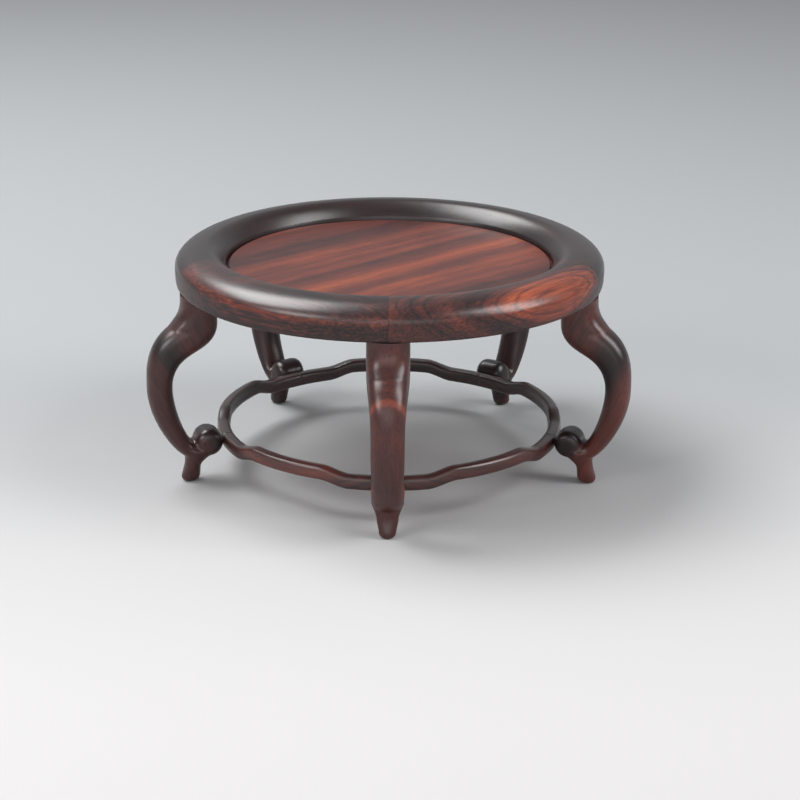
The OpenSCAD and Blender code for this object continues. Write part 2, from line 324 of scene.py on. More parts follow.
# %% Bow and scroll
NECK_SIZE, KNEE_SIZE = (9.8, 11.5, 2.5), (7.0, 8.9, 2.2)
ANKLE_SIZE, CURL_SIZE = (4.7, 7.8, 2.2), (3.9, 6.6, 2.2)
EVEN, KNEE_SLOW = (1.0, 1.0, 1.0), (3.2, 1.4, 1.4)
OVERSHOOT, NECK_MID = 1.2, 2.0
LEG_SIDES, KNEE_STEPS, CALF_STEPS, CURL_STEPS = 40, 44, 40, 12
SCROLL_R, SCROLL_W, SCROLL_EDGE = 3.9, 9.0, 2.4
SCROLL_EDGE_STEPS, SCROLL_STEPS = 10, 48


def superellipse(across, along, full, sides):
    """A rounded section: an ellipse where full is 2, and squarer above that."""
    turns = 2 * np.pi * np.arange(sides) / sides
    c, s = np.cos(turns), np.sin(turns)
    x = across / 2 * np.sign(c) * np.abs(c) ** (2 / full)
    y = along / 2 * np.sign(s) * np.abs(s) ** (2 / full)
    return np.stack([x, y], axis=1)


def leg_ring(at, along, size):
    """A rounded section of thickness, width and fullness, set square to the middle line."""
    x, y = superellipse(*size, LEG_SIDES).T
    return np.stack([at[0] - along[1] * x, y, at[1] + along[0] * x], axis=1)


def stretch(line, start, end, steps, slow=EVEN):
    """Rings along one curve, with a section that changes from one size to another."""
    rings = []
    for t in np.linspace(0, 1, steps + 1)[1:]:
        share = (1 - np.cos(np.pi * t ** np.array(slow))) / 2
        rings.append(leg_ring(curve(line, t), slope(line, t), mix(np.array(start), np.array(end), share)))
    return rings


def bow():
    """Neck, knee and calf, down to the start of the scroll."""
    down = (0.0, -1.0)
    heights = (RIM_Z + OVERSHOOT, RIM_Z - NECK_MID, NECK_Z)
    rings = [leg_ring((TOP_R, z), down, NECK_SIZE) for z in heights]
    rings += stretch(knee_line, NECK_SIZE, KNEE_SIZE, KNEE_STEPS, KNEE_SLOW)
    rings += stretch(calf_line, KNEE_SIZE, ANKLE_SIZE, CALF_STEPS)
    rings += stretch(curl_line, ANKLE_SIZE, CURL_SIZE, CURL_STEPS)
    return loft(rings)


def scroll():
    """A round-edged drum that lies across the leg."""
    flat, round_off = SCROLL_R - SCROLL_EDGE, (SCROLL_EDGE, SCROLL_EDGE)
    outline = [(0.0, -SCROLL_W / 2)]
    outline += arc((flat, SCROLL_EDGE - SCROLL_W / 2), round_off, -90, 0, SCROLL_EDGE_STEPS)
    outline += arc((flat, SCROLL_W / 2 - SCROLL_EDGE), round_off, 0, 90, SCROLL_EDGE_STEPS)
    outline += [(0.0, SCROLL_W / 2)]
    points, faces = lathe(outline, SCROLL_STEPS)
    x, z, y = points.T
    return np.stack([SCROLL_C + x, y, SCROLL_Z + z], axis=1), faces


print("bow:", len(bow()[1]), "faces, scroll:", len(scroll()[1]), "faces")

# %% [markdown]
# ## Foot and neck hollow
# The peg foot has a rounded toe and a waist, and it spreads into the ankle with a soft instep. High on
# the outside, a long hollow leads the neck out towards the knee, as a gouge would cut it.
# Both could be sculpted by hand. A width for each height is easier to check, and it stays the same for
# all five legs.

# %% Foot and neck hollow
FOOT_SIZE, FOOT_NECK = (5.3, 4.8), (4.5, 5.9)
FOOT_NECK_Z, FOOT_EDGE, FOOT_KICK, FOOT_WEB = 4.6, 1.4, 0.9, 3.6
INSTEP_R, INSTEP_Z = 5.0, 5.3
FOOT_RINGS, TOE_STEPS = 24, 8
HOLLOW_R, HOLLOW_DROP = 8.0, 1.7
HOLLOW_TOP_Z = RIM_Z - HOLLOW_DROP
HOLLOW_RUN, HOLLOW_BACK, HOLLOW_RINGS = 0.8, 0.8, 30


def ease(t):
    """Smooth change from 0 to 1."""
    t = np.clip(t, 0.0, 1.0)
    return t * t * (3 - 2 * t)


def foot_ring(z):
    """Peg foot: a rounded toe, a neck that kicks outwards, and a flare into the ankle and scroll."""
    neck = ease((z - FOOT_EDGE) / (FOOT_NECK_Z - FOOT_EDGE))
    flare = ease((z - FOOT_NECK_Z) / (CURL_Z - FOOT_NECK_Z))
    below = max(FOOT_EDGE - z, 0.0)
    toe = FOOT_EDGE - math.sqrt(FOOT_EDGE**2 - below**2)
    web = FOOT_WEB * flare
    instep = INSTEP_R - math.sqrt(INSTEP_R**2 - max(z - INSTEP_Z, 0.0) ** 2)
    thick = mix(mix(FOOT_SIZE[0], FOOT_NECK[0], neck), ANKLE_SIZE[0], flare) + web + instep - 2 * toe
    wide = mix(mix(FOOT_SIZE[1], FOOT_NECK[1], neck), SCROLL_W, flare) - 2 * toe
    x, y = superellipse(thick, wide, ANKLE_SIZE[2], LEG_SIDES).T
    middle = FOOT_R - FOOT_KICK * z / FOOT_NECK_Z + (instep - web) / 2
    return np.stack([middle + x, y, np.full(LEG_SIDES, z)], axis=1)


def foot():
    """The peg foot, from the curl down to the floor."""
    heights = list(np.linspace(CURL_Z, FOOT_EDGE, FOOT_RINGS))
    heights += [FOOT_EDGE * (1 - math.sin(a)) for a in np.linspace(0, math.pi / 2, TOE_STEPS + 1)[1:]]
    return loft([foot_ring(z) for z in heights])


def hollow():
    """Wood that fills the corner between neck and knee, so that the outside turns out in one hollow."""
    face = TOP_R + NECK_SIZE[0] / 2
    low_z = HOLLOW_TOP_Z - HOLLOW_R * math.sin(math.pi / 4)
    x, y = superellipse(*NECK_SIZE, LEG_SIDES).T
    rings = []
    for z in np.linspace(HOLLOW_TOP_Z + OVERSHOOT, low_z - OVERSHOOT, HOLLOW_RINGS):
        drop = max(HOLLOW_TOP_Z - max(z, low_z), 0.0)
        curved = HOLLOW_R - math.sqrt(HOLLOW_R**2 - drop**2)
        reach = face + curved + HOLLOW_RUN * max(low_z - z, 0.0) - TOP_R
        across = x * np.where(x > 0, 2 * reach / NECK_SIZE[0], HOLLOW_BACK)
        rings.append(np.stack([TOP_R + across, y, np.full(LEG_SIDES, z)], axis=1))
    return loft(rings)


print("foot:", len(foot()[1]), "faces, hollow:", len(hollow()[1]), "faces")

# %% [markdown]
# ## One skin for the leg
# On the real leg the bow, scroll and foot are one piece of wood, and a file and scraper have softened
# the hollows between them. A boolean would join the forms but leave hard creases there.
# A voxel remesh melts them into one skin instead, and smoothing then does the scraper's work.

# %% One skin for the leg
VOXEL = 0.36 * MM
SOFTEN, SOFTEN_SHARE = 14, 0.5
GLUE_GAP, CUT_REACH = 0.04, 1e-7


def melt(parts):
    """Join closed forms into one skin by voxels, then smooth it."""
    points, faces = [], []
    for part_points, part_faces in parts:
        first = len(points)
        points += np.asarray(part_points).tolist()
        faces += [tuple(first + k for k in face) for face in part_faces]
    rough = new_piece("leg_rough", points, faces)
    remesh = rough.modifiers.new("one skin", "REMESH")
    remesh.mode = "VOXEL"
    remesh.voxel_size = VOXEL
    smooth = rough.modifiers.new("scraped", "SMOOTH")
    smooth.factor = SOFTEN_SHARE
    smooth.iterations = SOFTEN
    shape = rough.evaluated_get(bpy.context.evaluated_depsgraph_get())
    mesh = bpy.data.meshes.new_from_object(shape)
    bpy.data.objects.remove(rough)
    return mesh


def cut_top(mesh, height):
    """Cut off everything above a height in millimetres and close the cut."""
    work = bmesh.new()
    work.from_mesh(mesh)
    everything = work.verts[:] + work.edges[:] + work.faces[:]
    cut = bmesh.ops.bisect_plane(work, geom=everything, dist=CUT_REACH, plane_co=(0, 0, height * MM),
                                 plane_no=(0, 0, 1), clear_outer=True, clear_inner=False)
    border = [e for e in cut["geom_cut"] if isinstance(e, bmesh.types.BMEdge)]
    bmesh.ops.edgeloop_fill(work, edges=border)
    bmesh.ops.recalc_face_normals(work, faces=work.faces)
    work.to_mesh(mesh)
    work.free()


leg_mesh = melt([bow(), hollow(), scroll(), foot()])
cut_top(leg_mesh, RIM_Z - GLUE_GAP)
leg_mesh.shade_smooth()
leg_mesh.set_sharp_from_angle(angle=math.radians(SOFT_CREASE))
print("leg skin:", len(leg_mesh.polygons), "faces")

# %% [markdown]
# ## Five legs
# The maker cuts all five legs to one pattern and sets them a fifth of a turn apart. Linked copies of
# one mesh would save memory. Each leg gets a mesh of its own here, turned into place, because each is
# finished later with wood from its own part of the log.

# %% Five legs
def leg(number):
    """A copy of the leg, turned to its place."""
    mesh = leg_mesh.copy()
    mesh.transform(Matrix.Rotation(math.radians(leg_turn(number)), 4, "Z"))
    piece = bpy.data.objects.new(f"bowed_leg_{number}", mesh)
    bpy.context.scene.collection.objects.link(piece)
    return stand_in_for(piece, f"leg_{number}")


legs = [leg(i) for i in range(1, LEG_COUNT + 1)]
print("legs:", len(legs), "at", [leg_turn(i) for i in range(1, LEG_COUNT + 1)], "degrees")

# %% [markdown]
# ## Stretchers
# Between neighbouring scrolls runs a slim stretcher. It lies low at each leg and rises in a flat hump
# between them. It could be bent from a straight bar, but the bends would drift from piece to piece.
# Here the hump is a smooth step in height along the ring, so the same formula serves all five.

# %% Stretchers
RING_R, RING_Z, RING_RISE = 47.35, 10.8, 1.8
RING_W, RING_T, RING_FULL = 3.7, 3.9, 3.4
SEAT_L, BEND_L = 20.4, 8.6
RING_STEPS, RING_SIDES = 96, 28


def ring_z(turn):
    """Height of the stretcher's middle line, at an angle from the nearer leg."""
    return RING_Z + RING_RISE * float(ease((RING_R * math.radians(turn) - SEAT_L / 2) / BEND_L))


def stretcher(number):
    """One stretcher, from its leg to the next, with both ends eased."""
    eased = math.degrees(TIGHT_EASE / RING_R)
    turns = [0.0, *np.linspace(eased, LEG_STEP - eased, RING_STEPS + 1), LEG_STEP]
    rings = []
    for k, turn in enumerate(turns):
        trim = 2 * TIGHT_EASE if k in (0, len(turns) - 1) else 0.0
        section = superellipse(RING_W - trim, RING_T - trim, RING_FULL, RING_SIDES)
        a = math.radians(leg_turn(number) + turn)
        r = RING_R + section[:, 0]
        z = ring_z(min(turn, LEG_STEP - turn)) + section[:, 1]
        rings.append(np.stack([r * math.cos(a), r * math.sin(a), z], axis=1))
    piece = new_piece(f"stretcher_bow_{number}", *loft(rings), crease=SOFT_CREASE)
    return stand_in_for(piece, f"stretcher_{number}")


stretchers = [stretcher(i) for i in range(1, LEG_COUNT + 1)]
print("stretchers:", len(stretchers), "of", len(stretchers[0].data.polygons), "faces")

# %% [markdown]
# ## Node helpers
# A finish is a small graph of shader nodes. It can be wired by hand in the shader editor, or written
# down. Written with a few helpers that place nodes and wire them by name, it reads as a recipe.

# %% Node helpers
MIX_A, MIX_B, MIX_RESULT = 6, 7, 2


def place(tree, kind, options=None, inputs=None):
    """Add a node, set its options, and link or set its inputs by name or place."""
    node = tree.nodes.new(kind)
    for name, value in (options or {}).items():
        setattr(node, name, value)
    for name, value in (inputs or {}).items():
        if isinstance(value, bpy.types.NodeSocket):
            tree.links.new(value, node.inputs[name])
        else:
            node.inputs[name].default_value = value
    return node


def calc(tree, operation, a, b=0.0, clamp=False):
    """One step of arithmetic."""
    options = {"operation": operation, "use_clamp": clamp}
    return place(tree, "ShaderNodeMath", options, {0: a, 1: b}).outputs[0]


def scaled(tree, vector, factors):
    """A vector stretched along its axes."""
    options = {"operation": "MULTIPLY"}
    return place(tree, "ShaderNodeVectorMath", options, {0: vector, 1: factors}).outputs["Vector"]


def remap(tree, value, low, high, to_low=0.0, to_high=1.0, kind="SMOOTHSTEP"):
    """Change a range of values into another."""
    inputs = {"Value": value, "From Min": low, "From Max": high, "To Min": to_low, "To Max": to_high}
    return place(tree, "ShaderNodeMapRange", {"interpolation_type": kind}, inputs).outputs["Result"]


def noise(tree, vector, scale, detail, rough=0.5):
    """Soft noise in space."""
    inputs = {"Vector": vector, "Scale": scale, "Detail": detail, "Roughness": rough}
    return place(tree, "ShaderNodeTexNoise", {}, inputs).outputs["Fac"]


def noise_line(tree, value, scale, detail):
    """Noise that changes with one number alone."""
    inputs = {"W": value, "Scale": scale, "Detail": detail, "Roughness": 0.5}
    return place(tree, "ShaderNodeTexNoise", {"noise_dimensions": "1D"}, inputs).outputs["Fac"]


def blend(tree, share, a, b):
    """A colour between two others."""
    inputs = {"Factor": share, MIX_A: a, MIX_B: b}
    return place(tree, "ShaderNodeMix", {"data_type": "RGBA"}, inputs).outputs[MIX_RESULT]


print("helpers for nodes: calc, scaled, remap, noise, noise_line and blend")

# %% [markdown]
# ## Node groups
# Every piece of the stand is the same kind of wood, so its finishes share their effects. Copying the
# nodes into each finish would work, but a change would then have to be made many times. A node group
# with named inputs and outputs is made once and used everywhere.

# %% Node groups
VECTOR, NUMBER, COLOUR = "NodeSocketVector", "NodeSocketFloat", "NodeSocketColor"


def new_group(name, inputs, outputs):
    """An empty node group with named sockets: its tree, its input sockets and its output node."""
    tree = bpy.data.node_groups.new(name, "ShaderNodeTree")
    for socket, kind, value in inputs:
        made = tree.interface.new_socket(name=socket, in_out="INPUT", socket_type=kind)
        if kind == NUMBER:
            made.default_value = value
    for socket, kind in outputs:
        tree.interface.new_socket(name=socket, in_out="OUTPUT", socket_type=kind)
    given = tree.nodes.new("NodeGroupInput")
    return tree, given.outputs, tree.nodes.new("NodeGroupOutput")


def give(tree, output, results):
    """Wire results to a group's outputs."""
    for name, value in results.items():
        tree.links.new(value, output.inputs[name])


def use(tree, group, inputs):
    """Place a node group and return its outputs."""
    return place(tree, "ShaderNodeGroup", {"node_tree": group}, inputs).outputs


print("helpers for groups: new_group, give and use")

# %% [markdown]
# ## Growth rings
# Rosewood is striped because a saw and a scraper cut through the tree's growth rings. A picture of
# stripes would look pasted on. Here the log itself is described: the grain runs along X, the pith is
# the X axis, and the distance from it counts the rings. Any curved piece then shows its own true
# figure, such as ovals on a swelling surface.

# %% Growth rings
SWAY_STRETCH, SWAY_SCALE = (0.14, 1.0, 1.0), 0.075
ACROSS_GRAIN = (0.0, 1.0, 1.0)
BAND_SCALE, BAND_RANGE = 0.42, (0.25, 0.75)
FAINT_SCALE, FAINT_RANGE = 0.21, (0.42, 0.62)
LINE_RANGE = (0.02, 0.2)

growth_rings, given, result = new_group(
    "Growth rings",
    [("Log", VECTOR, None), ("Ring Width", NUMBER, 1.5), ("Waver", NUMBER, 1.0), ("Start", NUMBER, 0.0)],
    [("Tone", NUMBER), ("Line", NUMBER), ("Radius", NUMBER)],
)
long_grain = scaled(growth_rings, given["Log"], SWAY_STRETCH)
sway = noise(growth_rings, long_grain, SWAY_SCALE, detail=2.5, rough=0.55)
sway = calc(growth_rings, "SUBTRACT", sway, 0.5)
flat = scaled(growth_rings, given["Log"], ACROSS_GRAIN)
radius = place(growth_rings, "ShaderNodeVectorMath", {"operation": "LENGTH"}, {0: flat}).outputs["Value"]
swayed = calc(growth_rings, "ADD", radius, calc(growth_rings, "MULTIPLY", sway, given["Waver"]))
count = calc(growth_rings, "DIVIDE", swayed, given["Ring Width"])
count = calc(growth_rings, "ADD", count, given["Start"])
bands = noise_line(growth_rings, count, BAND_SCALE, detail=2.0)
years = calc(growth_rings, "PINGPONG", count, 0.5)
strength = remap(growth_rings, noise_line(growth_rings, count, FAINT_SCALE, detail=0.0), *FAINT_RANGE)
line = calc(growth_rings, "MULTIPLY", remap(growth_rings, years, *LINE_RANGE, 1.0, 0.0), strength)
tone = remap(growth_rings, bands, *BAND_RANGE, kind="LINEAR")
give(growth_rings, result, {"Tone": tone, "Line": line, "Radius": swayed})
print("group:", growth_rings.name, "with", len(growth_rings.nodes), "nodes")

# %% [markdown]
# ## Fibre and pores
# Between the rings the wood is fine fibre, and its sap vessels are cut open as short dark dashes that
# lie along the grain. Carving each pit into the mesh would need far too many faces. Stretched noise
# gives the fibre. Stretched cells give the pores, and only some of them are open.

# %% Fibre and pores
FIBRE_STRETCH, FIBRE_SCALE, FIBRE_RANGE = (0.045, 1.0, 1.0), 1.7, (0.3, 0.7)
PORE_STRETCH, PORE_EDGE = (0.3, 1.3, 1.3), (0.08, 0.2)

fibre_pores, given, result = new_group(
    "Fibre and pores",
    [("Log", VECTOR, None), ("Open Share", NUMBER, 0.25)],
    [("Fibre", NUMBER), ("Pores", NUMBER)],
)
strands = scaled(fibre_pores, given["Log"], FIBRE_STRETCH)
fibre = noise(fibre_pores, strands, FIBRE_SCALE, detail=4.0, rough=0.68)
fibre = remap(fibre_pores, fibre, *FIBRE_RANGE, kind="LINEAR")
vessels = scaled(fibre_pores, given["Log"], PORE_STRETCH)
cells = place(fibre_pores, "ShaderNodeTexVoronoi", {}, {"Vector": vessels, "Scale": 1.0}).outputs
luck = place(fibre_pores, "ShaderNodeSeparateColor", {}, {"Color": cells["Color"]}).outputs["Red"]
is_open = calc(fibre_pores, "LESS_THAN", luck, given["Open Share"])
pit = remap(fibre_pores, cells["Distance"], *PORE_EDGE, 1.0, 0.0)
give(fibre_pores, result, {"Fibre": fibre, "Pores": calc(fibre_pores, "MULTIPLY", pit, is_open)})
print("group:", fibre_pores.name, "with", len(fibre_pores.nodes), "nodes")

# %% [markdown]
# ## Rosewood colours
# The wood runs from near-black lines through purple brown to an orange heart. Each piece could have colours
# of its own, but they would soon look like different woods. So one ramp holds every tone, and a piece only
# chooses its place on it. One band of rings in each piece can be lit up as a flame of orange, or darkened,
# as rosewood often is. On the scrolls of legs 2 to 5 the darkened band is painted shade.

# %% Rosewood colours
RAMP = [
    (0.0, (0.008, 0.005, 0.006)),
    (0.24, (0.026, 0.012, 0.012)),
    (0.46, (0.066, 0.021, 0.018)),
    (0.66, (0.150, 0.035, 0.024)),
    (0.84, (0.28, 0.062, 0.030)),
    (1.0, (0.44, 0.098, 0.040)),
]
PORE_COLOUR = (0.008, 0.005, 0.005, 1.0)
FLAME_EDGE = (0.2, 1.0)

rosewood_colours, given, result = new_group(
    "Rosewood colours",
    [("Tone", NUMBER, 0.5), ("Line", NUMBER, 0.0), ("Radius", NUMBER, 0.0), ("Fibre", NUMBER, 0.5),
     ("Cloud", NUMBER, 0.5), ("Pores", NUMBER, 0.0), ("Level", NUMBER, 0.4), ("Contrast", NUMBER, 0.5),
     ("Lines", NUMBER, 0.2), ("Streaks", NUMBER, 0.2), ("Clouds", NUMBER, 0.2), ("Flame", NUMBER, 0.0),
     ("Flame Radius", NUMBER, 0.0), ("Flame Width", NUMBER, 1.0)],
    [("Color", COLOUR)],
)
away = calc(rosewood_colours, "SUBTRACT", given["Radius"], given["Flame Radius"])
away = calc(rosewood_colours, "DIVIDE", calc(rosewood_colours, "ABSOLUTE", away), given["Flame Width"])
flame = remap(rosewood_colours, away, *FLAME_EDGE, 1.0, 0.0)
level = given["Level"]
for mask, amount in (("Tone", "Contrast"), ("Fibre", "Streaks"), ("Cloud", "Clouds")):
    swing = calc(rosewood_colours, "SUBTRACT", given[mask], 0.5)
    swing = calc(rosewood_colours, "MULTIPLY", swing, given[amount])
    level = calc(rosewood_colours, "ADD", level, swing)
level = calc(rosewood_colours, "ADD", level, calc(rosewood_colours, "MULTIPLY", flame, given["Flame"]))
dark_lines = calc(rosewood_colours, "MULTIPLY", given["Line"], given["Lines"])
level = calc(rosewood_colours, "SUBTRACT", level, dark_lines, clamp=True)
ramp = place(rosewood_colours, "ShaderNodeValToRGB", {}, {"Fac": level})
while len(ramp.color_ramp.elements) < len(RAMP):
    ramp.color_ramp.elements.new(0.5)
for element, (position, colour) in zip(ramp.color_ramp.elements, RAMP):
    element.position = position
    element.color = (*colour, 1.0)
pored = blend(rosewood_colours, given["Pores"], ramp.outputs["Color"], PORE_COLOUR)
give(rosewood_colours, result, {"Color": pored})
print("group:", rosewood_colours.name, "with", len(RAMP), "tones")

# %% [markdown]
# ## Wax film
# The stand is waxed and rubbed, so its shine is satin and not quite even. One roughness for all of it
# would look like plastic. Soft noise varies it, and some of that goes to the bump, because hand
# scraping leaves a surface that is never quite true.
# Faces that look upward are rubbed up most. They carry a clear coat of wax, and the sides keep the
# wood's own dark shine.

# %% Wax film
RUB_SCALE, SCRAPE_SCALE = 0.22, 0.3
CLOUD_STRETCH, CLOUD_SCALE, CLOUD_RANGE = (0.35, 1.0, 1.0), 0.11, (0.3, 0.7)
COAT_RANGE = (0.05, 0.5)

wax_film, given, result = new_group(
    "Wax film",
    [("Place", VECTOR, None), ("Facing", VECTOR, None), ("Gloss", NUMBER, 0.35), ("Spread", NUMBER, 0.06),
     ("Wax", NUMBER, 1.0)],
    [("Roughness", NUMBER), ("Scraping", NUMBER), ("Cloud", NUMBER), ("Coat", NUMBER)],
)
rubbed = noise(wax_film, given["Place"], RUB_SCALE, detail=3.0, rough=0.6)
rubbed = calc(wax_film, "SUBTRACT", rubbed, 0.5)
uneven = calc(wax_film, "MULTIPLY", rubbed, given["Spread"])
rough = calc(wax_film, "ADD", given["Gloss"], uneven, clamp=True)
cloud = noise(wax_film, scaled(wax_film, given["Place"], CLOUD_STRETCH), CLOUD_SCALE, detail=2.0)
cloud = remap(wax_film, cloud, *CLOUD_RANGE, kind="LINEAR")
upward = place(wax_film, "ShaderNodeSeparateXYZ", {}, {"Vector": given["Facing"]}).outputs["Z"]
coat = calc(wax_film, "MULTIPLY", remap(wax_film, upward, *COAT_RANGE), given["Wax"])
scraping = noise(wax_film, given["Place"], SCRAPE_SCALE, detail=1.0)
give(wax_film, result, {"Roughness": rough, "Scraping": scraping, "Cloud": cloud, "Coat": coat})
print("group:", wax_film.name, "with", len(wax_film.nodes), "nodes")

# %% [markdown]
# ## The rosewood finish
# Each piece was sawn from its own place in the log. One material for the whole stand would run the
# same rings through all of it, as if it were carved from one trunk. So each piece gets its own copy of
# the finish, with the pith's place and the grain's direction, its own lightness and its own wax.

# %% The rosewood finish
PIT_DEPTH, BUMP_STRENGTH = 0.12 * MM, 0.6
SCRAPE_SHARE, FIBRE_SHARE = 0.9, 0.06
SHINE, WAX_ROUGHNESS = 0.42, 0.3
NO_FLAME = (0.0, 0.0, 1.0)


def rosewood(name, pith, grain, ring=1.6, waver=3.0, start=0.0, level=0.35, contrast=0.3, lines=0.15,
             streaks=0.15, clouds=0.1, flame=NO_FLAME, gloss=0.36, open_share=0.2, shine=SHINE, wax=1.0):
    """A rosewood material: pith in millimetres, grain as the turn of the log's X axis in degrees, and flame
    as an amount, a distance from the pith and a width. An amount below 0 is a dark band, which lays painted
    shade on the scrolls of legs 2 to 5."""
    material = bpy.data.materials.new(name)
    material.use_nodes = True
    tree = material.node_tree
    tree.nodes.clear()
    spot = place(tree, "ShaderNodeTexCoord").outputs
    log = place(tree, "ShaderNodeMapping", {"vector_type": "TEXTURE"},
                {"Vector": spot["Object"], "Location": [v * MM for v in pith],
                 "Rotation": [math.radians(v) for v in grain], "Scale": (MM, MM, MM)}).outputs["Vector"]
    rings = use(tree, growth_rings, {"Log": log, "Ring Width": ring, "Waver": waver, "Start": start})
    fine = use(tree, fibre_pores, {"Log": log, "Open Share": open_share})
    film = use(tree, wax_film, {"Place": log, "Facing": spot["Normal"], "Gloss": gloss, "Wax": wax})
    colour = use(tree, rosewood_colours,
                 {"Tone": rings["Tone"], "Line": rings["Line"], "Radius": rings["Radius"],
                  "Fibre": fine["Fibre"], "Cloud": film["Cloud"], "Pores": fine["Pores"],
                  "Level": level, "Contrast": contrast, "Lines": lines, "Streaks": streaks,
                  "Clouds": clouds, "Flame": flame[0], "Flame Radius": flame[1], "Flame Width": flame[2]})
    height = calc(tree, "MULTIPLY", film["Scraping"], SCRAPE_SHARE)
    height = calc(tree, "SUBTRACT", height, fine["Pores"])
    height = calc(tree, "ADD", height, calc(tree, "MULTIPLY", fine["Fibre"], FIBRE_SHARE))
    bump = place(tree, "ShaderNodeBump", {},
                 {"Height": height, "Strength": BUMP_STRENGTH, "Distance": PIT_DEPTH})
    shader = place(tree, "ShaderNodeBsdfPrincipled", {},
                   {"Base Color": colour["Color"], "Roughness": film["Roughness"],
                    "Normal": bump.outputs["Normal"], "Specular IOR Level": shine,
                    "Coat Weight": film["Coat"], "Coat Roughness": WAX_ROUGHNESS})
    output = place(tree, "ShaderNodeOutputMaterial")
    tree.links.new(shader.outputs["BSDF"], output.inputs["Surface"])
    return material


def finish(piece, material):
    """Give a piece one material."""
    piece.data.materials.clear()
    piece.data.materials.append(material)


print("finish: rosewood, with pits", round(PIT_DEPTH / MM, 2), "mm deep")

# %% [markdown]
# ## Wood for the rim
# The front left piece has its rings lying flat, so its belly shows fine red streaks. The front right
# one was cut far out in the log, and where its outside lies along the grain the rings close into ovals
# round an orange heart. The three at the back are plain and dark.
# Painting each figure would give more control over single lines. Choosing where the pith lies gives
# figures that run true over the edge, as in real wood.

# %% Wood for the rim
def chord(number):
    """Grain direction of a piece that spans from one leg to the next."""
    return leg_turn(number) + LEG_STEP / 2 + 90


def on_ring(turn, r, z):
    """Point at an angle about the stand's axis."""
    a = math.radians(turn)
    return (r * math.cos(a), r * math.sin(a), z)


RIM_WOOD = {
    1: dict(pith=on_ring(-41, 20.0, 30.0), grain=(0, 0, 49), ring=1.3, waver=2.4, level=0.41, contrast=0.18,
            lines=0.18, streaks=0.4, clouds=0.25, flame=(0.4, 50.4, 6.2), open_share=0.35),
    2: dict(pith=on_ring(18, 40.0, 5.0), grain=(0, 0, chord(2)), level=0.2, contrast=0.15, lines=0.08),
    3: dict(pith=on_ring(90, 30.0, 0.0), grain=(0, 0, chord(3)), level=0.18, contrast=0.15, lines=0.08),
    4: dict(pith=on_ring(162, 44.0, 2.0), grain=(0, 0, chord(4)), level=0.22, contrast=0.15, lines=0.08),
    5: dict(pith=on_ring(234, 50.0, -4.0), grain=(0, 2, chord(5)), ring=1.1, level=0.32, contrast=0.25,
            streaks=0.6, clouds=0.2, flame=(0.16, 64.8, 2.4)),
}
for number, piece in enumerate(rim_pieces, 1):
    finish(piece, rosewood(f"rim wood {number}", **RIM_WOOD[number]))
print("rim wood:", len(RIM_WOOD), "finishes")

# %% [markdown]
# ## Wood for the panel and legs
# The panel is sawn across wide rings and is plainly striped, with one dark band, and it has less wax than
# the rim. In the front leg the grain slants, and one thin light ring comes out as an arch below the knee.
# The other legs have a broad dark band of rings, laid so that it darkens the knee and the scroll; on the
# scroll that darkening is painted shade.
# A coloured patch could be laid over each spot, but a ring of the log bends round the leg by itself.

# %% Wood for the panel and legs
PANEL_GRAIN = (0, 3, 44.0)
LEG_SHIFT = 1.7
SIDE_CUT = dict(heart=(40.0, 30.0), lean=-63)
LEG_WOOD = {
    1: dict(heart=(19.0, 45.0), lean=-68, level=0.46, flame=(0.24, 46.8, 1.2)),
    # Legs 2 to 5 take a flame below 0, a dark band that lays painted shade on their scrolls.
    2: dict(SIDE_CUT, level=0.53, flame=(-0.35, 19.0, 6.5)),
    3: dict(SIDE_CUT, level=0.28, flame=(-0.15, 18.5, 4.0)),
    4: dict(SIDE_CUT, level=0.28, flame=(-0.15, 18.5, 4.0)),
    5: dict(SIDE_CUT, level=0.43, flame=(-0.3, 18.8, 5.2)),
}

finish(panel, rosewood("panel wood", pith=(55.0, -90.0, 40.0), grain=PANEL_GRAIN, ring=5.5, waver=6.0,
                       start=0.5, level=0.67, contrast=0.47, lines=0.06, streaks=0.2,
                       flame=(-0.16, 134.0, 12.0), gloss=0.48, open_share=0.1, wax=0.45))
for number, piece in enumerate(legs, 1):
    turn, cut = leg_turn(number), LEG_WOOD[number]
    finish(piece, rosewood(f"leg wood {number}", pith=on_ring(turn, *cut["heart"]),
                           grain=(0, cut["lean"], turn), ring=2.2, waver=2.0, start=LEG_SHIFT * number,
                           level=cut["level"], contrast=0.16, lines=0.06, streaks=0.2,
                           flame=cut["flame"], wax=0.8))
print("panel and leg wood:", 1 + len(LEG_WOOD), "finishes")

# %% [markdown]
# ## Wood for the stretchers and pegs
# The stretchers are slim sticks with the grain along them, lighter in front than behind, and hands
# have polished them more than the legs. The hidden keys and the dowels hardly show, so they could be
# left as they are. One plain finish for all of them keeps the stand whole from every side.

# %% Wood for the stretchers and pegs
STRETCHER_LEVEL = {1: 0.46, 2: 0.34, 3: 0.28, 4: 0.34, 5: 0.47}
STRETCHER_SHIFT, STRETCHER_PITH = 2.3, (25.0, -12.0)

for number, piece in enumerate(stretchers, 1):
    pith = on_ring(leg_turn(number) + LEG_STEP / 2, *STRETCHER_PITH)
    finish(piece, rosewood(f"stretcher wood {number}", pith=pith, grain=(0, 0, chord(number)), waver=2.0,
                           start=STRETCHER_SHIFT * number, level=STRETCHER_LEVEL[number], contrast=0.25,
                           shine=0.65))

peg_wood = rosewood("peg wood", pith=(0.0, 0.0, -30.0), grain=(0, 0, 20), level=0.25, gloss=0.5)
pegs = [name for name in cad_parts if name.startswith(("rim_key", "stretcher_dowel"))]
for name in pegs:
    finish(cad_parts[name], peg_wood)
print("stretcher wood:", len(STRETCHER_LEVEL), "finishes, and one for", len(pegs), "keys and dowels")
